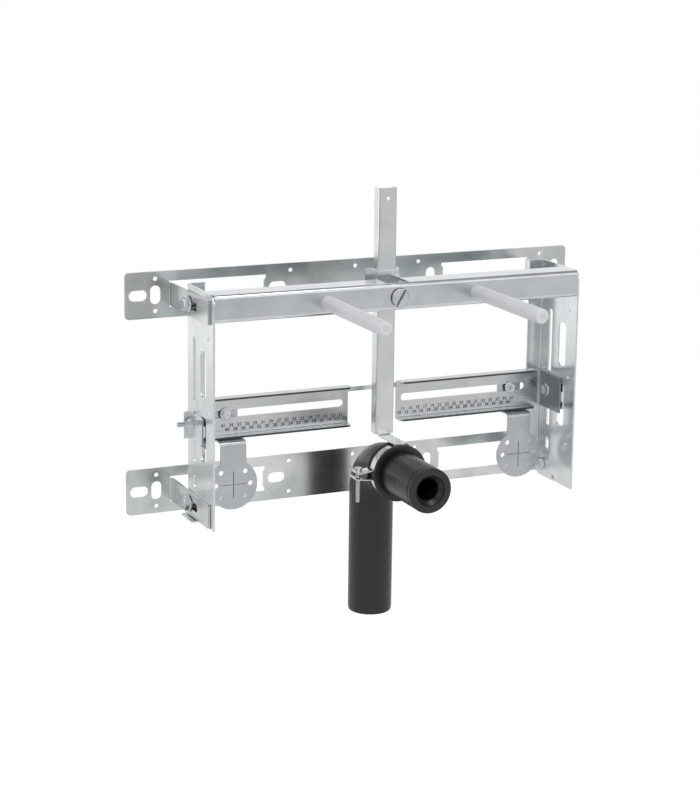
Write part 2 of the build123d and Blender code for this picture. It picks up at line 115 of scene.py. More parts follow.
def linear(hex_colour):
    """An sRGB hex colour as linear RGBA: ((c + 0.055) / 1.055) ** 2.4 for each channel c."""
    shown = np.array([int(hex_colour[i : i + 2], 16) for i in (0, 2, 4)]) / 255
    toe = shown / 12.92
    return (*np.where(shown > 0.04045, ((shown + 0.055) / 1.055) ** 2.4, toe), 1.0)


def add(tree, kind, sockets=None, **settings):
    """One node with its settings. A socket takes a value, or links to another node's output."""
    node = tree.nodes.new(kind)
    for name, value in settings.items():
        setattr(node, name, value)
    for socket, value in (sockets or {}).items():
        if isinstance(value, bpy.types.NodeSocket):
            tree.links.new(value, node.inputs[socket])
        else:
            node.inputs[socket].default_value = value
    return node


def start_material(name, **values):
    """A new material, its node tree and its shader with the values that are the same all over."""
    made = bpy.data.materials.new(name)
    made.use_nodes = True
    shader = made.node_tree.nodes["Principled BSDF"]
    for socket, value in values.items():
        shader.inputs[socket.replace("_", " ")].default_value = value
    return made, made.node_tree, shader


def pattern(tree, size, detail):
    """Noise on Object coordinates. size is one lump of it along X, Y and Z, in millimetres."""
    place = add(tree, "ShaderNodeTexCoord").outputs["Object"]
    scale = tuple(1 / (length * MM) for length in size)
    spread = add(tree, "ShaderNodeMapping", {"Vector": place, "Scale": scale})
    return add(
        tree, "ShaderNodeTexNoise", {"Vector": spread.outputs[0], "Scale": 1.0, "Detail": detail}
    ).outputs[0]


def between(tree, fac, low, high):
    """A pattern's usual range, 0.3 to 0.7, stretched to go from low to high."""
    sockets = {"Value": fac, "From Min": 0.3, "From Max": 0.7, "To Min": low, "To Max": high}
    return add(tree, "ShaderNodeMapRange", sockets).outputs[0]


def two_tone(tree, fac, first, second):
    """Two sRGB hex colours that blend into each other with a pattern."""
    mixed = add(tree, "ShaderNodeMix", {0: between(tree, fac, 0.0, 1.0)}, data_type="RGBA")
    mixed.inputs["A"].default_value = linear(first)
    mixed.inputs["B"].default_value = linear(second)
    return mixed.outputs["Result"]


def raised(tree, height, depth, normal=None):
    """A bump as deep as depth millimetres, over another one if normal is given."""
    sockets = {"Height": height, "Strength": 1.0, "Distance": depth * MM}
    if normal is not None:
        sockets["Normal"] = normal
    return add(tree, "ShaderNodeBump", sockets).outputs[0]


STREAK_DEPTH = 0.0007  # millimetres
PLATING_SPREAD, SKIN_SPREAD = 0.018, 0.04  # how far the roughness goes up and down
MOTTLE_SIZE = 30  # millimetres


def plated_steel(name, light, dark, roughness, streak, cloud=22, wave=70, wave_depth=0.10):
    """Steel with a bright zinc plating.

    The plating clouds the colour over a couple of centimetres, the rolls leave fine streaks along
    the sheet, and the bent sheet is never quite flat, so what it reflects wavers a little. streak
    is a streak's length along X, Y and Z in millimetres, drawn coarser than the real 0.1 mm so that
    it shows.
    """
    made, tree, shader = start_material(name, Metallic=1.0)
    links = tree.links
    clouds = pattern(tree, (cloud,) * 3, 3.0)
    streaks = pattern(tree, streak, 2.0)
    links.new(two_tone(tree, clouds, light, dark), shader.inputs["Base Color"])
    rough = between(tree, streaks, roughness - PLATING_SPREAD, roughness + PLATING_SPREAD)
    links.new(rough, shader.inputs["Roughness"])
    waves = raised(tree, pattern(tree, (wave,) * 3, 1.0), wave_depth)
    links.new(raised(tree, streaks, STREAK_DEPTH, waves), shader.inputs["Normal"])
    return made


def moulded(name, light, dark, roughness, grain, depth, **values):
    """A moulded plastic or rubber: a faint mottle in the colour and the mould's fine grain."""
    made, tree, shader = start_material(name, **values)
    links = tree.links
    mottle = pattern(tree, (MOTTLE_SIZE,) * 3, 3.0)
    links.new(two_tone(tree, mottle, light, dark), shader.inputs["Base Color"])
    skin = pattern(tree, (grain,) * 3, 4.0)
    rough = between(tree, skin, roughness - SKIN_SPREAD, roughness + SKIN_SPREAD)
    links.new(rough, shader.inputs["Roughness"])
    links.new(raised(tree, skin, depth), shader.inputs["Normal"])
    return made


def refinish(made, low, high, colour, roughness=0.5):
    """Inside a box of the piece, in millimetres, the metal has its own colour and roughness.

    It paints shade: a darker grey in boxes where shade falls or dark reflections show, and on
    a cut edge. A point is inside if it is nearer to the box's middle than half the box, along each
    of the three axes.
    """
    tree = made.node_tree
    shader = tree.nodes["Principled BSDF"]
    place = add(tree, "ShaderNodeTexCoord").outputs["Object"]
    middle = tuple((a + b) / 2 * MM for a, b in zip(low, high))
    half = tuple((b - a) / 2 * MM for a, b in zip(low, high))
    apart = add(tree, "ShaderNodeVectorMath", {0: place, 1: middle}, operation="SUBTRACT")
    size = add(tree, "ShaderNodeVectorMath", {0: apart.outputs[0]}, operation="ABSOLUTE")
    over = add(tree, "ShaderNodeVectorMath", {0: size.outputs[0], 1: half}, operation="SUBTRACT")
    axes = add(tree, "ShaderNodeSeparateXYZ", {0: over.outputs[0]}).outputs
    most = add(tree, "ShaderNodeMath", {0: axes[0], 1: axes[1]}, operation="MAXIMUM").outputs[0]
    most = add(tree, "ShaderNodeMath", {0: most, 1: axes[2]}, operation="MAXIMUM").outputs[0]
    inside = add(tree, "ShaderNodeMath", {0: most, 1: 0.0}, operation="LESS_THAN").outputs[0]
    for socket, value, kind, (outer, inner), result in (
        ("Base Color", linear(colour), "RGBA", ("A", "B"), "Result"),
        ("Roughness", roughness, "FLOAT", (2, 3), 0),
    ):
        mixed = add(tree, "ShaderNodeMix", {0: inside}, data_type=kind)
        tree.links.new(shader.inputs[socket].links[0].from_socket, mixed.inputs[outer])
        mixed.inputs[inner].default_value = value
        tree.links.new(mixed.outputs[result], shader.inputs[socket])


# ---------------------------------------------------------------- materials

# Rolled along X or along Z: the streaks follow how each sheet was cut
LYING, STANDING = (45, 0.9, 0.9), (0.9, 0.9, 45)
# Hot-dip galvanised strip: larger and stronger clouds than the plated sheets have
WALL_RAIL_STEEL = plated_steel(
    "galvanised_rolled_steel_wall_rail", "E2E2E3", "BAC2C1", 0.22, LYING, cloud=45
)
CROSSBAR_STEEL = plated_steel("zinc_plated_rolled_steel_lying", "DCDFE2", "CFD3D7", 0.19, LYING)
UPRIGHT_STEEL = plated_steel(
    "zinc_plated_rolled_steel_standing", "E6E9EA", "DADEE0", 0.20, STANDING
)
# Thinner sheet buckles over shorter lengths
CHANNEL_STEEL = plated_steel(
    "zinc_plated_thin_steel_channel", "E4E6E6", "D8DBDC", 0.20, STANDING, wave=40
)
# Narrow pieces stay flatter and are a duller grey
CARRIER_STEEL = plated_steel(
    "zinc_plated_rolled_steel_carrier", "D5D7D9", "CBCED0", 0.27, LYING, wave_depth=0.05
)
PLATE_STEEL = plated_steel(
    "zinc_plated_punched_steel_plate", "C5C9CC", "B9BDC1", 0.26, STANDING, wave_depth=0.06
)

# The front edges of the slotted rails' lips, 66.5 mm from the wall, which end short of the elbows.
# Their dark grey is partly the bare cut edge and partly painted shade for the dark line under each
# lip.
refinish(CARRIER_STEEL, (-203, -67, -160), (203, -65.8, -100), "55585A")
# The elbow plates: their darker grey is painted shade for the dark reflections they show, and they
# are rougher
ELBOW_INSIDE, ELBOW_OUTSIDE = 214.5, 219
for left, right in ((-ELBOW_OUTSIDE, -ELBOW_INSIDE), (ELBOW_INSIDE, ELBOW_OUTSIDE)):
    refinish(CARRIER_STEEL, (left, -101, -153), (right, -56, -110), "92969A", 0.33)
# The crossed lines stamped into the tap discs are painted darker, as painted shade in their
# grooves. The upright line is painted darker than the level one.
DISC_OUT, DISC_DOWN = 177, 202  # millimetres from the origin to a disc's middle
LINE_FRONT, LINE_BACK = -77.45, -76.9  # from just before the disc's face to just behind the lines
LINE_REACH, LINE_HALF_WIDTH = 15.2, 0.45
for x in (-DISC_OUT, DISC_OUT):
    for wide, tall, colour in (
        (LINE_REACH, LINE_HALF_WIDTH, "909497"),
        (LINE_HALF_WIDTH, LINE_REACH, "6A6E71"),
    ):
        low = (x - wide, LINE_FRONT, -DISC_DOWN - tall)
        high = (x + wide, LINE_BACK, -DISC_DOWN + tall)
        refinish(PLATE_STEEL, low, high, colour)

# Small turned and cold-headed parts are plated in a barrel, which leaves them brighter and finer,
# with no streaks along one way
SMALL_PARTS = {"streak": (2, 2, 2), "cloud": 6, "wave": 12, "wave_depth": 0.03}
SCREW_STEEL = plated_steel("barrel_plated_steel_screw", "DDDFE1", "C8CBCE", 0.22, **SMALL_PARTS)
# Painted shade for the clamp screw's side, rim and slot walls: a darker steel
SHADED_SCREW_STEEL = plated_steel("screw_steel_painted_shade", "6E7276", "5E6266", 0.30, **SMALL_PARTS)
# A thin band that was plated bright and then bent round, so it wavers closely
BAND_STEEL = plated_steel(
    "bright_zinc_plated_band",
    "E0E2E3",
    "CFD2D4",
    0.22,
    (1.5, 1.5, 1.5),
    cloud=8,
    wave=20,
    wave_depth=0.05,
)
# High-density polyethylene: deep black with a waxy sheen and a faint mottle
DRAIN_PLASTIC = moulded("moulded_black_polyethylene", "17181B", "121315", 0.30, 1.6, 0.008)
# EPDM rubber: duller than the pipe, with a dusty skin
SEAL_RUBBER = moulded("moulded_epdm_rubber", "232325", "1A1A1C", 0.36, 0.9, 0.008)
# Natural polypropylene: milky, so its shades are soft
SLEEVE_PLASTIC = moulded(
    "extruded_natural_polypropylene",
    "E4E6E9",
    "DCDEE2",
    0.34,
    2.0,
    0.006,
    Subsurface_Weight=0.35,
    Subsurface_Radius=(1.0, 1.0, 1.0),
    Subsurface_Scale=0.004,
)
# Printed scale: a thin matt ink that has taken unevenly on the zinc
SCALE_INK = moulded("screen_printed_grey_ink", "17191C", "2B2E33", 0.5, 0.6, 0.002)

# ---------------------------------------------------------------- surfaces

ROUND_COLUMNS = 96  # round the drain bend, its seal and its lining
WELD_DISTANCE = 0.001 * MM
SHARP_ANGLE = math.radians(38)


def corners_of(node):
    """The lowest and the highest corner of a CAD node's box."""
    low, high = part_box(node)
    return np.array(low), np.array(high)


def around(columns):
    """Angles evenly round a circle."""
    return np.linspace(0, FULL_TURN, columns, endpoint=False)


def all_round(radius, columns):
    """Each row's radius, the same at every angle."""
    return np.asarray(radius, float)[:, None] * np.ones(columns)


def soft_line(corners, reach, steps=4, ring=True):
    """A line with soft corners, in any number of coordinates.

    Each corner becomes a curve (1 - s)^2 start + 2 s (1 - s) corner + s^2 end, whose ends lie reach
    from the corner on its two edges. A line that isn't a ring keeps its own two ends.
    """
    corners = np.array(corners, float)
    back, on = np.roll(corners, 1, 0) - corners, np.roll(corners, -1, 0) - corners
    reach = np.broadcast_to(np.asarray(reach, float), len(corners))[:, None]
    start = corners + back / np.linalg.norm(back, axis=1, keepdims=True) * reach
    end = corners + on / np.linalg.norm(on, axis=1, keepdims=True) * reach
    s = np.linspace(0, 1, steps)[:, None]
    pulled = 2 * s * (1 - s) * corners[:, None]
    curves = (1 - s) ** 2 * start[:, None] + pulled + s**2 * end[:, None]
    line = curves.reshape(-1, corners.shape[1])
    return line if ring else np.vstack((corners[:1], line[steps:-steps], corners[-1:]))


def finer(line, spacing, ring=True):
    """The same line with points added, so that none is further than spacing from the next."""
    if ring:
        line = np.vstack((line, line[:1]))
    run = np.concatenate(([0], np.cumsum(np.linalg.norm(np.diff(line, axis=0), axis=1))))
    stations = np.unique(np.concatenate((run, np.arange(0, run[-1], spacing))))
    points = np.column_stack([np.interp(stations, run, values) for values in line.T])
    return points[:-1] if ring else points


def square_frame(direction):
    """Two directions square to an axis and to each other, and the axis."""
    along = np.array(direction, float)
    across = np.cross((0, 0, 1) if abs(along[2]) < 0.9 else (1, 0, 0), along)
    across /= np.linalg.norm(across)
    return across, np.cross(along, across), along


def turned(radius, height, foot, direction):
    """A turned grid: each row is a ring at its height on the axis from foot, with its radius.

    radius has a row for each height and a column for each angle round the axis.
    """
    across, up, along = square_frame(direction)
    angle = around(radius.shape[1])[:, None]
    ring = np.cos(angle) * across + np.sin(angle) * up
    return np.asarray(foot) + radius[:, :, None] * ring + height[:, None, None] * along


def carried(path, profile, sideways):
    """A closed profile carried along a path, with its ends closed.

    sideways is the fixed direction of the profile's first coordinate. Its second one lies square
    to that and to the path. The end rows shrink to the middle of the end.
    """
    ahead = np.gradient(path, axis=0)
    ahead /= np.linalg.norm(ahead, axis=1, keepdims=True)
    square = np.cross(ahead, sideways)
    grid = path[:, None] + profile[:, 0][:, None] * np.array(sideways, float)
    grid = grid + profile[:, 1][:, None] * square[:, None]
    ends = np.broadcast_to(path[[0, -1]][:, None], (2, len(profile), 3))
    return np.concatenate((ends[:1], grid, ends[1:]))


def surface(name, grid, ring=False):
    """A mesh from a grid of points whose columns close round. Its rows close too if it is a ring.

    Rows that shrink to a point close the ends, and their doubled points are merged.
    """
    rows, columns = grid.shape[:2]
    index = np.arange(rows * columns).reshape(rows, columns)
    beside = np.roll(index, -1, 1)
    after, after_beside = np.roll(index, -1, 0), np.roll(beside, -1, 0)
    quads = np.stack((index, beside, after_beside, after), -1)
    quads = quads if ring else quads[:-1]
    mesh = bpy.data.meshes.new(name)
    mesh.from_pydata(grid.reshape(-1, 3), [], quads.reshape(-1, 4))
    work = bmesh.new()
    work.from_mesh(mesh)
    bmesh.ops.remove_doubles(work, verts=work.verts, dist=WELD_DISTANCE)
    bmesh.ops.recalc_face_normals(work, faces=work.faces)
    work.to_mesh(mesh)
    work.free()
    mesh.shade_smooth()
    mesh.set_sharp_from_angle(angle=SHARP_ANGLE)
    return put_in(name, mesh)


def stand_for(piece, material, node):
    """A piece takes the place of a CAD node: it rides on its body and takes its finish."""
    piece.data.materials.append(material)
    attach(piece, frame["nodes"][node]["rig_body"])
    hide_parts(node)


# ---------------------------------------------------------------- screws and nuts

HEXAGON_COLUMNS = 48
CONE_ANGLE = math.radians(28)  # of the cone that cuts the corners of heads and nuts
THREAD_ROWS = 6  # in one turn

# Thread's diameter and pitch, width over flats, head's height, flange's diameter and thickness
LOCK_SCREW = (8 * MM, 1.25 * MM, 13 * MM, 5.5 * MM, 18 * MM, 1.6 * MM)
SMALL_SCREW = (6 * MM, 1.0 * MM, 10 * MM, 4 * MM, 14 * MM, 1.5 * MM)
CLOSING_SCREW = (5 * MM, 0.8 * MM, 8 * MM, 4 * MM, 11 * MM, 1.0 * MM)
# Thread's diameter and width over flats
LOCK_NUT, SMALL_NUT, ROD_NUT = (8 * MM, 13 * MM), (6 * MM, 10 * MM), (12 * MM, 19 * MM)


def hexagon(flats, angle):
    """Radius of a hexagon at an angle: half its flats over the cosine from the nearest flat."""
    return flats / 2 / np.cos(angle % (math.pi / 3) - math.pi / 6)


def thread(diameter, pitch, length, columns):
    """Radius and height of a thread: a ridge that climbs by one pitch in one turn.

    The radius falls and rises by 0.6 of the pitch. Both ends are chamfered at 45 degrees, by 0.7 of
    the pitch.
    """
    height = np.linspace(0, length, max(2, round(length / pitch * THREAD_ROWS)))
    climb = height[:, None] / pitch - around(columns) / FULL_TURN
    ridge = diameter / 2 - 0.6 * pitch * np.abs(2 * (climb % 1) - 1)
    lead = np.minimum(height, length - height)[:, None] + diameter / 2 - 0.7 * pitch
    return np.minimum(ridge, lead), height


def box_ends(node, direction):
    """Centre of a CAD node's two ends along an axis, the first end against the direction."""
    low, high = corners_of(node)
    middle, half = (low + high) / 2, (high - low) / 2
    step = np.array(direction, float) * half
    return middle - step, middle + step


def hexagon_head(flats, bottom, top, columns):
    """Rows of a forged head: straight sides cut by a cone, and a shallow dish in its top."""
    upward = np.sign(top - bottom)
    corner, cone_top = flats / 2 / math.cos(math.pi / 6), 0.94 * flats / 2
    rise = (corner - cone_top) * math.tan(CONE_ANGLE) * upward
    sweep = np.linspace(0, 1, 7)
    cone_radius = corner + (cone_top - corner) * sweep
    radius = np.append(corner, cone_radius)[:, None]
    radius = np.minimum(radius, hexagon(flats, around(columns)))
    height = np.append(bottom, top - rise + rise * sweep)
    dish = 0.25 * MM * upward
    dish_radius = all_round(np.array((0.80, 0.66, 0.0)) * cone_top, columns)
    return np.vstack((radius, dish_radius)), np.append(height, (top, top - dish, top - dish))


def hexagon_screw(node, direction, diameter, pitch, flats, head, flange, thickness):
    """A hexagon screw with a flange or washer, from its thread's tip to the top of its head."""
    columns = HEXAGON_COLUMNS
    head_end, tip = box_ends(node, direction)
    length = np.linalg.norm(tip - head_end) - head - thickness
    seat = head_end + (head + thickness) * np.array(direction)
    thread_radius, thread_height = thread(diameter, pitch, length, columns)
    rim = soft_line(
        [(diameter / 2, 0), (flange / 2, 0), (flange / 2, -thickness), (flats / 2, -thickness)],
        (0, 0.35 * thickness, 0.45 * thickness, 0),
        ring=False,
    )
    head_radius, head_height = hexagon_head(flats, -thickness, -thickness - head, columns)
    pole, rim_radius = all_round([0], columns), all_round(rim[:, 0], columns)
    radius = np.vstack((pole, thread_radius[::-1], rim_radius, head_radius))
    height = np.concatenate(([length], thread_height[::-1], rim[:, 1], head_height))
    piece = surface(f"{node}_threaded", turned(radius, height, seat, direction))
    stand_for(piece, SCREW_STEEL, node)


def hexagon_nut(node, direction, diameter, flats):
    """A hexagon nut: a ring whose outside is a hexagon cut by a cone at both ends."""
    foot, top = box_ends(node, direction)
    height = np.linalg.norm(top - foot)
    corner, face = flats / 2 / math.cos(math.pi / 6), 0.93 * flats / 2
    rise = (corner - face) * math.tan(CONE_ANGLE)
    sweep = np.linspace(0, 1, 6)
    outside = np.column_stack((face + (corner - face) * sweep, rise * sweep))
    outside = np.vstack((outside, np.column_stack((outside[::-1, 0], height - outside[::-1, 1]))))
    bore, lead = diameter / 2 + 0.1 * MM, 0.5 * MM
    inside = np.array(
        ((bore + lead, height), (bore, height - lead), (bore, lead), (bore + lead, 0))
    )
    cut = np.minimum(outside[:, :1], hexagon(flats, around(HEXAGON_COLUMNS)))
    radius = np.vstack((cut, all_round(inside[:, 0], HEXAGON_COLUMNS)))
    heights = np.concatenate((outside[:, 1], inside[:, 1]))
    piece = surface(f"{node}_chamfered", turned(radius, heights, foot, direction), ring=True)
    stand_for(piece, SCREW_STEEL, node)


for side in SIDES:
    inward = (1, 0, 0) if side == "left" else (-1, 0, 0)
    outward = tuple(-value for value in inward)
    for level in LEVELS:
        hexagon_screw(f"{side}_{level}_lock_screw", inward, *LOCK_SCREW)
        hexagon_nut(f"{side}_{level}_lock_nut", inward, *LOCK_NUT)
    hexagon_screw(f"{side}_elbow_screw", outward, *SMALL_SCREW)
    hexagon_screw(f"{side}_plate_screw", TO_WALL, *SMALL_SCREW)
    hexagon_nut(f"{side}_elbow_nut", outward, *SMALL_NUT)
    hexagon_nut(f"{side}_plate_nut", TO_WALL, *SMALL_NUT)
    hexagon_nut(f"{side}_rod_nut", TO_ROOM, *ROD_NUT)


def slotted_head(name, foot, direction, slot_direction, sizes):
    """A cheese head with a straight slot and a low dome.

    Rows are cuts across the slot, at u = -R cos(a), with doubled rows at the slot's two walls.
    Columns run over the top at v = t sqrt(R^2 - u^2), for t from -1 to 1, and back along the foot.
    The top falls by dome (u^2 + v^2) / R^2, and by a quarter circle within the rim, and is cut down
    to the slot's floor in the slot.
    """
    diameter, height, dome, rim, slot_width, slot_depth = (size * MM for size in sizes)
    half, wall, nudge = diameter / 2, slot_width / 2, 0.01 * MM
    rows, columns = 49, 41
    spread = -half * np.cos(np.linspace(0, math.pi, rows))
    spread = spread[np.abs(np.abs(spread) - wall) > 4 * nudge]
    walls = (-wall - nudge, -wall + nudge, wall - nudge, wall + nudge)
    u = np.sort(np.append(spread, walls))[:, None]
    t = -np.cos(np.linspace(0, math.pi, columns))
    v = np.sqrt(np.maximum(half**2 - u**2, 0)) * t
    out = np.hypot(u, v)
    past_flat = np.clip(out - (half - rim), 0, rim)
    top = height - rim + np.sqrt(np.maximum(rim**2 - past_flat**2, 0)) - dome * (out / half) ** 2
    top = np.where(np.abs(u) < wall, np.minimum(top, height - slot_depth), top)
    along_slot, ahead = np.array(slot_direction, float), np.array(direction, float)
    across_slot = np.cross(along_slot, ahead)
    u = np.broadcast_to(u, v.shape)
    u, v = np.hstack((u, u[:, ::-1])), np.hstack((v, v[:, ::-1]))
    level = np.hstack((top, np.zeros_like(top)))
    grid = np.asarray(foot) + u[..., None] * across_slot + v[..., None] * along_slot
    return surface(name, grid + level[..., None] * ahead)


def threaded_rod(name, node, foot, length, diameter, pitch, columns):
    """A thread with closed ends that runs towards the room from foot, in place of a CAD node."""
    radius, height = thread(diameter, pitch, length, columns)
    pole = all_round([0], columns)
    radius, height = np.vstack((pole, radius, pole)), np.concatenate(([0], height, [length]))
    stand_for(surface(name, turned(radius, height, foot, TO_ROOM)), SCREW_STEEL, node)


# The big screw that clamps the channel. Its side, its rim and its slot walls are painted darker
# than its face, as painted shade.
CLAMP_HEAD = (21.0, 3.0, 0.5, 1.4, 3.4, 2.4)  # diameter, height, dome, rim, slot's width and depth
CLAMP_SLOT_ANGLE = math.radians(60)
SHADE_SLOPE = 0.80  # a face whose normal has less than this along the axis gets the painted shade

shank_end, head_top = box_ends("channel_clamp_screw", TO_ROOM)
seat = head_top + (0, CLAMP_HEAD[1] * MM, 0)
slot_direction = (math.cos(CLAMP_SLOT_ANGLE), 0, math.sin(CLAMP_SLOT_ANGLE))
head = slotted_head("channel_clamp_screw_head", seat, TO_ROOM, slot_direction, CLAMP_HEAD)
stand_for(head, SCREW_STEEL, "channel_clamp_screw")
# The head's second material is the painted shade on its side, rim and slot walls
head.data.materials.append(SHADED_SCREW_STEEL)
normals = np.empty(len(head.data.polygons) * 3)
head.data.polygons.foreach_get("normal", normals)
shaded_faces = np.abs(normals.reshape(-1, 3)[:, 1]) < SHADE_SLOPE
head.data.polygons.foreach_set("material_index", shaded_faces.astype(np.int32))
threaded_rod(
    "channel_clamp_screw_shank",
    "channel_clamp_screw",
    shank_end,
    np.linalg.norm(seat - shank_end),
    10 * MM,
    1.5 * MM,
    columns=40,
)

# ---------------------------------------------------------------- fixing rods and sleeves

SLEEVE_RADIUS, SLEEVE_BORE, CAP_THICKNESS = 8 * MM, 6.2 * MM, 1.6 * MM
SLEEVE_COLUMNS = 72

for side in SIDES:
    # M12 studding, cut off and chamfered at both ends, which ends inside the sleeve's cap
    tail, tip = box_ends(f"{side}_fixing_rod", TO_ROOM)
    length = np.linalg.norm(tip - tail) - CAP_THICKNESS - 0.2 * MM
    threaded_rod(
        f"{side}_fixing_rod_threaded",
        f"{side}_fixing_rod",
        tail,
        length,
        12 * MM,
        1.75 * MM,
        columns=32,
    )

    # A cap pushed over the stud: its closed end is well rounded, with a gate mark in its middle
    foot, tip = box_ends(f"{side}_rod_sleeve", TO_ROOM)
    length = np.linalg.norm(tip - foot)
    end = length - CAP_THICKNESS
    wall = soft_line(
        [
            (0, end),
            (SLEEVE_BORE, end),
            (SLEEVE_BORE, 0),
            (SLEEVE_RADIUS, 0),
            (SLEEVE_RADIUS, length),
            (3.2 * MM, length),
            (2.6 * MM, length - 0.5 * MM),
            (1.5 * MM, length - 0.5 * MM),
            (1.2 * MM, length),
            (0, length),
        ],
        np.array((0, 0.3, 0.3, 0.3, 2.6, 0.2, 0.15, 0.15, 0.15, 0)) * MM,
        steps=7,
        ring=False,
    )
    radius = all_round(wall[:, 0], SLEEVE_COLUMNS)
    sleeve = surface(f"{side}_rod_sleeve_moulded", turned(radius, wall[:, 1], foot, TO_ROOM))
    stand_for(sleeve, SLEEVE_PLASTIC, f"{side}_rod_sleeve")

# ---------------------------------------------------------------- drain bend and seal

seal_low, seal_high = corners_of("inlet_seal")
bend_low, bend_high = corners_of("drain_bend")
DRAIN_X = (seal_low[0] + seal_high[0]) / 2
DRAIN_Z = (seal_low[2] + seal_high[2]) / 2
PIPE_RADIUS = (bend_high[0] - bend_low[0]) / 2
PIPE_WALL = 2.5 * MM
LEAD_IN_LENGTH, LEAD_IN_DEPTH = 3 * MM, 0.8 * MM
BEND_RADIUS = 40 * MM
ROUTE_STEP = 3 * MM  # the longest gap between two rows along the pipe
PIPE_Y = bend_high[1] - PIPE_RADIUS
SEAL_RIM = 7.1 * MM  # from the drain's front, where the seal begins, back to the pipe's end

upright_run = DRAIN_Z - bend_low[2] - BEND_RADIUS
arc_run = BEND_RADIUS * math.pi / 2
forward_run = PIPE_Y - BEND_RADIUS - (seal_low[1] + SEAL_RIM)
whole_run = upright_run + arc_run + forward_run


def drain_route(run):
    """Points and side directions of the drain's middle line, run metres from its outlet.

    It climbs straight, turns a quarter circle towards the room, and goes straight on.
    """
    turn = np.clip((run - upright_run) / BEND_RADIUS, 0, math.pi / 2)
    ahead = np.maximum(run - upright_run - arc_run, 0)
    climb = np.minimum(run, upright_run)
    y = PIPE_Y - BEND_RADIUS * (1 - np.cos(turn)) - ahead
    z = bend_low[2] + climb + BEND_RADIUS * np.sin(turn)
    middle = np.column_stack((np.full_like(run, DRAIN_X), y, z))
    outward = np.column_stack((np.zeros_like(run), np.cos(turn), np.sin(turn)))
    return middle, outward


# The wall is a ring in run and radius: outside up, round the mouth, and back down inside. The
# outlet end has the usual long lead-in chamfer.
wall = soft_line(
    [
        (0, PIPE_RADIUS - PIPE_WALL),
        (0, PIPE_RADIUS - LEAD_IN_DEPTH),
        (LEAD_IN_LENGTH, PIPE_RADIUS),
        (whole_run, PIPE_RADIUS),
        (whole_run, PIPE_RADIUS - PIPE_WALL),
    ],
    (0.4 * MM, 0.5 * MM, 1.2 * MM, 0.5 * MM, 0.3 * MM),
)
wall = finer(wall, ROUTE_STEP)
middle, outward = drain_route(wall[:, 0])
angle = around(ROUND_COLUMNS)[:, None]
spokes = np.cos(angle) * np.array((1.0, 0, 0)) + np.sin(angle) * outward[:, None]
bend = surface(
    "drain_bend_moulded", middle[:, None] + wall[:, 1][:, None, None] * spokes, ring=True
)
stand_for(bend, DRAIN_PLASTIC, "drain_bend")


def rubber_ring(node, corners, reach, front):
    """A moulded ring in place of a CAD node, turned round the pipe from a closed outline.

    The outline's corners are radius and height in millimetres, with heights measured towards the
    wall from the ring's front, and reach is how far each corner is softened.
    """
    outline = soft_line(np.array(corners) * MM, np.array(reach) * MM, 5)
    radius = all_round(outline[:, 0], ROUND_COLUMNS)
    grid = turned(radius, outline[:, 1], (DRAIN_X, front, DRAIN_Z), TO_WALL)
    stand_for(surface(f"{node}_moulded", grid, ring=True), SEAL_RUBBER, node)


# A rim covers the pipe's end, and a cone leads the trap's outlet tube into a thin lip that closes
# on it
rubber_ring(
    "inlet_seal",
    [
        (17.2, 0.0),
        (24.3, 0.0),
        (25.0, 0.9),
        (25.0, 5.8),
        (23.4, 5.9),
        (23.4, 7.1),
        (22.4, 7.1),
        (22.4, 33.5),
        (16.0, 33.5),
        (16.0, 12.5),
        (12.0, 10.6),
        (12.0, 6.8),
        (16.8, 1.6),
    ],
    (0.3, 0.8, 0.7, 0.4, 0.1, 0.1, 0.2, 0.5, 0.5, 1.0, 0.6, 0.8, 0.5),
    seal_low[1],
)

# ---------------------------------------------------------------- pipe clamp

# The band lies in the groove between the lining's two collars
rubber_ring(
    "clamp_lining",
    [(25, 0), (32, 0), (32, 3), (29, 3), (29, 18), (32, 18), (32, 21), (25, 21)],
    (0.6, 1.2, 0.8, 0.3, 0.3, 0.8, 1.2, 0.6),
    corners_of("clamp_lining")[0][1],
)

band_low, band_high = corners_of("clamp_band")
BAND_WIDTH = band_high[1] - band_low[1]
BAND_SHEET = 1.5 * MM
BAND_RADIUS = 29 * MM + BAND_SHEET / 2
EAR_LEVEL = 3.25 * MM  # middle of an ear's sheet above or below the drain's middle
EAR_REACH = DRAIN_X - band_low[0]

# The band's middle line: the upper ear with its end curled up, round the pipe, and the lower ear
# with its end curled up to hook under the upper one.
ear_angle = math.asin(EAR_LEVEL / BAND_RADIUS)
round_part = np.linspace(math.pi - ear_angle, -math.pi + ear_angle, 90)
circle = BAND_RADIUS * np.column_stack((np.cos(round_part), np.sin(round_part)))
upper_ear = np.array(
    (
        (-EAR_REACH + 0.4 * MM, EAR_LEVEL + 5.5 * MM),
        (-EAR_REACH + 1.6 * MM, EAR_LEVEL + 1.4 * MM),
        (-EAR_REACH + 6.0 * MM, EAR_LEVEL),
    )
)
lower_ear = np.array(
    (
        (-EAR_REACH + 5.0 * MM, -EAR_LEVEL),
        (-EAR_REACH + 1.0 * MM, -EAR_LEVEL + 1.0 * MM),
        (-EAR_REACH + 0.4 * MM, -EAR_LEVEL + 3.6 * MM),
    )
)
line = np.vstack(
    (
        soft_line(upper_ear, 1.6 * MM, 6, ring=False),
        circle[1:-1],
        soft_line(lower_ear, 1.4 * MM, 6, ring=False),
    )
)
line = finer(line, 1.0 * MM, ring=False)
band_y = np.full(len(line), (band_low[1] + band_high[1]) / 2)
path = np.column_stack((DRAIN_X + line[:, 0], band_y, DRAIN_Z + line[:, 1]))
half_width, half_sheet = BAND_WIDTH / 2, BAND_SHEET / 2
edge = soft_line(
    [
        (-half_width, -half_sheet),
        (half_width, -half_sheet),
        (half_width, half_sheet),
        (-half_width, half_sheet),
    ],
    0.45 * MM,
)
band = surface("clamp_band_bent", carried(path, edge, TO_WALL))
stand_for(band, BAND_STEEL, "clamp_band")

hexagon_screw("clamp_closing_screw", (0, 0, -1), *CLOSING_SCREW)

# ---------------------------------------------------------------- printed scales

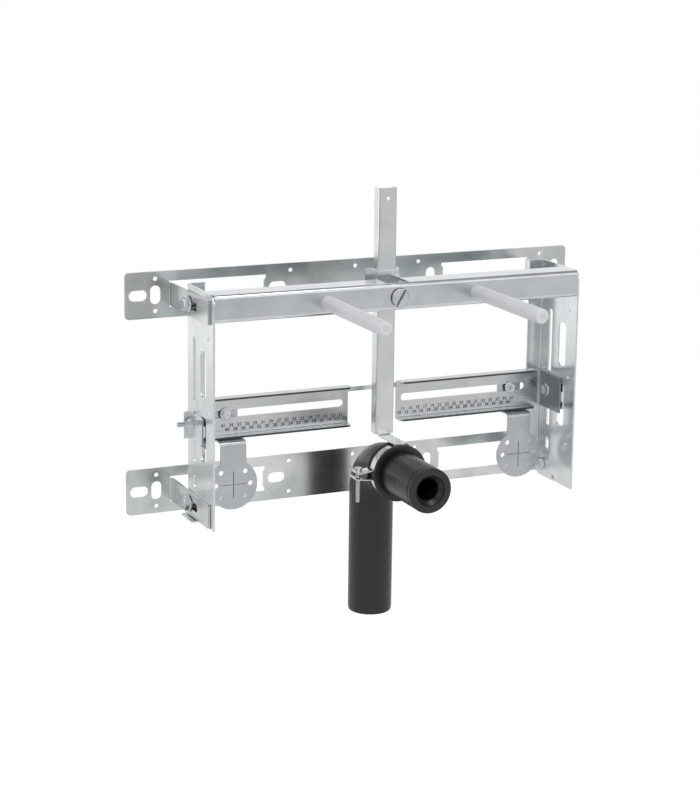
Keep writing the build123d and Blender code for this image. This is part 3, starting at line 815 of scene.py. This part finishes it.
SCALE_START, SCALE_STEP, SCALE_COUNT = 34 * MM, 4.7 * MM, 32
FIRST_NUMBER = 10
UPPER_ROW, LOWER_ROW = -138.8 * MM, -143.2 * MM  # tops of the two rows of numbers
RAIL_FACE = -52.8 * MM  # front of the slotted rails' web
TEXT_SIZE = 3.9 * MM * 1.35  # the digits are 3.9 mm high, and the font's size is 1.35 of that
INK_SPREAD = 0.11 * MM  # how far the ink runs past each stroke's edge
INK_THICKNESS = 0.05 * MM


def printed_number(value, x, top):
    """A number's mesh, flat against the rail's face: its text turned up to look at the room."""
    words = bpy.data.curves.new("number", "FONT")
    words.body, words.size, words.extrude = str(value), TEXT_SIZE, INK_THICKNESS / 2
    words.align_x, words.align_y, words.resolution_u = "CENTER", "TOP", 2
    words.offset = INK_SPREAD
    holder = bpy.data.objects.new("number", words)
    mesh = bpy.data.meshes.new_from_object(holder)
    place = Matrix.Translation((x, RAIL_FACE - INK_THICKNESS / 2, top))
    mesh.transform(place @ Matrix.Rotation(math.pi / 2, 4, "X"))
    bpy.data.objects.remove(holder)
    bpy.data.curves.remove(words)
    return mesh


for side in SIDES:
    sign = -1 if side == "left" else 1
    numbers = bmesh.new()
    for i in range(SCALE_COUNT):
        x = sign * (SCALE_START + i * SCALE_STEP)
        number = printed_number(FIRST_NUMBER + i, x, UPPER_ROW if i % 2 else LOWER_ROW)
        numbers.from_mesh(number)
        bpy.data.meshes.remove(number)
    scale_mesh = bpy.data.meshes.new(f"{side}_rail_scale")
    numbers.to_mesh(scale_mesh)
    numbers.free()
    scale = put_in(f"{side}_rail_scale", scale_mesh)
    scale_mesh.materials.append(SCALE_INK)
    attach(scale, "tap_carrier")

# ---------------------------------------------------------------- sheet pieces kept from the CAD

SHEET_FINISHES = {
    WALL_RAIL_STEEL: ("upper_wall_rail", "lower_wall_rail"),
    CROSSBAR_STEEL: ("crossbar", "tie_strip"),
    UPRIGHT_STEEL: ("left_upright", "right_upright", "left_clamp_plate", "right_clamp_plate"),
    CHANNEL_STEEL: ("drain_channel", "channel_guide", "clamp_foot"),
    CARRIER_STEEL: ("left_slotted_rail", "right_slotted_rail"),
    PLATE_STEEL: ("left_tap_plate", "right_tap_plate"),
}
EDGE_ROUND = 0.25 * MM  # a punched and tumbled edge
FLAT_ANGLE, EDGE_ANGLE = math.radians(1), math.radians(40)


def soften_edges(sheet, material):
    """A kept CAD solid gets its finish, and round edges that catch the light.

    Its triangles are welded and those of one plane are merged first, so flat sheet stays flat right
    up to its bends.
    """
    for slot in sheet.material_slots:
        slot.material = material
    weld = sheet.modifiers.new("weld", "WELD")
    weld.merge_threshold = 0.002 * MM
    flats = sheet.modifiers.new("flats", "DECIMATE")
    flats.decimate_type, flats.angle_limit = "DISSOLVE", FLAT_ANGLE
    bevel = sheet.modifiers.new("edges", "BEVEL")
    bevel.width, bevel.segments = EDGE_ROUND, 2
    bevel.limit_method, bevel.angle_limit = "ANGLE", EDGE_ANGLE
    normals = sheet.modifiers.new("normals", "WEIGHTED_NORMAL")
    normals.keep_sharp = False


for material, names in SHEET_FINISHES.items():
    for name in names:
        soften_edges(frame["nodes"][name], material)

# ---------------------------------------------------------------- studio

# Brightness, against 1 for the white backdrop behind the wall
ROOM_LEVEL, FRONT_LIGHT, CEILING, END_LEVEL = 0.68, 1.15, 0.38, 0.75

world = bpy.data.worlds.new("soft_studio")
world.use_nodes = True
tree = world.node_tree
tree.nodes.clear()
# The backdrop's side and the room's side each have their brightness by height, which is the
# direction's Z. A long soft light on the room's side and a dim ceiling draw the dark and the bright
# line along each upper bend, and below the lights the room is a softer grey than the backdrop. What
# the camera sees is plain white.
STUDIO_SIDES = (
    ((0.34, 1.0), (0.50, CEILING)),
    ((0.02, ROOM_LEVEL), (0.10, FRONT_LIGHT), (0.58, FRONT_LIGHT), (0.70, CEILING)),
)
direction = add(tree, "ShaderNodeTexCoord").outputs["Generated"]
axes = add(tree, "ShaderNodeSeparateXYZ", {0: direction}).outputs
levels = []
for stops in STUDIO_SIDES:
    ramp = add(tree, "ShaderNodeValToRGB", {"Fac": axes["Z"]})
    elements = ramp.color_ramp.elements
    ramp.color_ramp.interpolation = "EASE"
    for i, (height, level) in enumerate(stops):
        # A new ramp has two stops already
        stop = elements[i] if i < 2 else elements.new(height)
        stop.position, grey = height, level / FRONT_LIGHT
        stop.color = (grey, grey, grey, 1)
    levels.append(ramp.outputs["Color"])
towards_room = add(
    tree,
    "ShaderNodeMapRange",
    {"Value": axes["Y"], "From Min": 0.1, "From Max": -0.55},
    interpolation_type="SMOOTHSTEP",
).outputs[0]
around_it = add(tree, "ShaderNodeMix", {0: towards_room}, data_type="RGBA")
for end, level in zip(("A", "B"), levels):
    tree.links.new(level, around_it.inputs[end])
# The two ends of the studio are dimmer
sideways = add(tree, "ShaderNodeMath", {0: axes["X"]}, operation="ABSOLUTE").outputs[0]
strength = add(
    tree,
    "ShaderNodeMapRange",
    {
        "Value": sideways,
        "From Min": 0.65,
        "From Max": 0.95,
        "To Min": FRONT_LIGHT,
        "To Max": FRONT_LIGHT * END_LEVEL,
    },
).outputs[0]
# Three dark screens, each with its direction, how far it is full and where it ends, and its level.
# The left ends of the wall rails and of the crossbar reflect the first one. The second one shows in
# the corners between sheets, such as beside the right upright, where the light turns twice. The
# third one draws a dark line along the left front bends and down the left of the drain pipe.
SCREENS = (
    ((0.27, -0.945, -0.17), 0.03, 0.13, 0.62),
    ((-0.485, -0.85, -0.22), 0.07, 0.20, 0.28),
    ((-0.97, -0.15, -0.18), 0.12, 0.42, 0.30),
)
for toward, full, end, level in SCREENS:
    apart = add(tree, "ShaderNodeVectorMath", {0: direction, 1: toward}, operation="DISTANCE")
    sockets = {"Value": apart.outputs["Value"], "From Min": full, "From Max": end, "To Min": level}
    screened = add(tree, "ShaderNodeMapRange", sockets, interpolation_type="SMOOTHSTEP").outputs[0]
    strength = add(
        tree, "ShaderNodeMath", {0: strength, 1: screened}, operation="MULTIPLY"
    ).outputs[0]
soft = add(
    tree, "ShaderNodeBackground", {"Color": around_it.outputs["Result"], "Strength": strength}
)
plain = add(tree, "ShaderNodeBackground", {"Color": (1, 1, 1, 1), "Strength": 1.0})
seen = add(tree, "ShaderNodeLightPath").outputs["Is Camera Ray"]
shown = add(tree, "ShaderNodeMixShader", {0: seen, 1: soft.outputs[0], 2: plain.outputs[0]})
add(tree, "ShaderNodeOutputWorld", {"Surface": shown.outputs[0]})
bpy.context.scene.world = world

LAMP_AIM = (0, -0.1, -0.1)


def soft_box(name, place, size, power):
    """A square soft lamp that faces the part, with its side in metres and its power in watts."""
    lamp = bpy.data.lights.new(name, "AREA")
    lamp.size, lamp.energy = size, power
    holder = put_in(name, lamp)
    holder.location = place
    ahead = Vector(LAMP_AIM) - Vector(place)
    holder.rotation_euler = ahead.to_track_quat("-Z", "Y").to_euler()


soft_box("soft_box_left", (-2.1, 0.7, 0.3), 1.6, 7)
soft_box("soft_box_above", (0.3, -0.9, 1.9), 1.0, 12)

# The camera sees the floor lifted to white, with its shadow, and polished metal a little less so
CAMERA_LIFT, METAL_LIFT = 0.46, 0.18
FLOOR_LEVEL, FLOOR_RADIUS, FLOOR_CORNERS = -0.62, 2.4, 64

floor_material, tree, shader = start_material(
    "matt_white_floor",
    Base_Color=linear("F4F4F3"),
    Roughness=0.9,
    Emission_Color=(1, 1, 1, 1),
)
path_kind = add(tree, "ShaderNodeLightPath").outputs
in_metal = add(
    tree, "ShaderNodeMath", {0: path_kind["Is Glossy Ray"], 1: METAL_LIFT}, operation="MULTIPLY"
).outputs[0]
lift = add(
    tree,
    "ShaderNodeMath",
    {0: path_kind["Is Camera Ray"], 1: CAMERA_LIFT, 2: in_metal},
    operation="MULTIPLY_ADD",
)
tree.links.new(lift.outputs[0], shader.inputs["Emission Strength"])
turn = around(FLOOR_CORNERS)
rim = np.column_stack(
    (FLOOR_RADIUS * np.cos(turn), FLOOR_RADIUS * np.sin(turn), np.full(len(turn), FLOOR_LEVEL))
)
floor_mesh = bpy.data.meshes.new("floor")
floor_mesh.from_pydata(rim, [], [list(range(FLOOR_CORNERS))])
floor_mesh.materials.append(floor_material)
floor = put_in("floor", floor_mesh)

bpy.context.scene.view_settings.view_transform = "Standard"
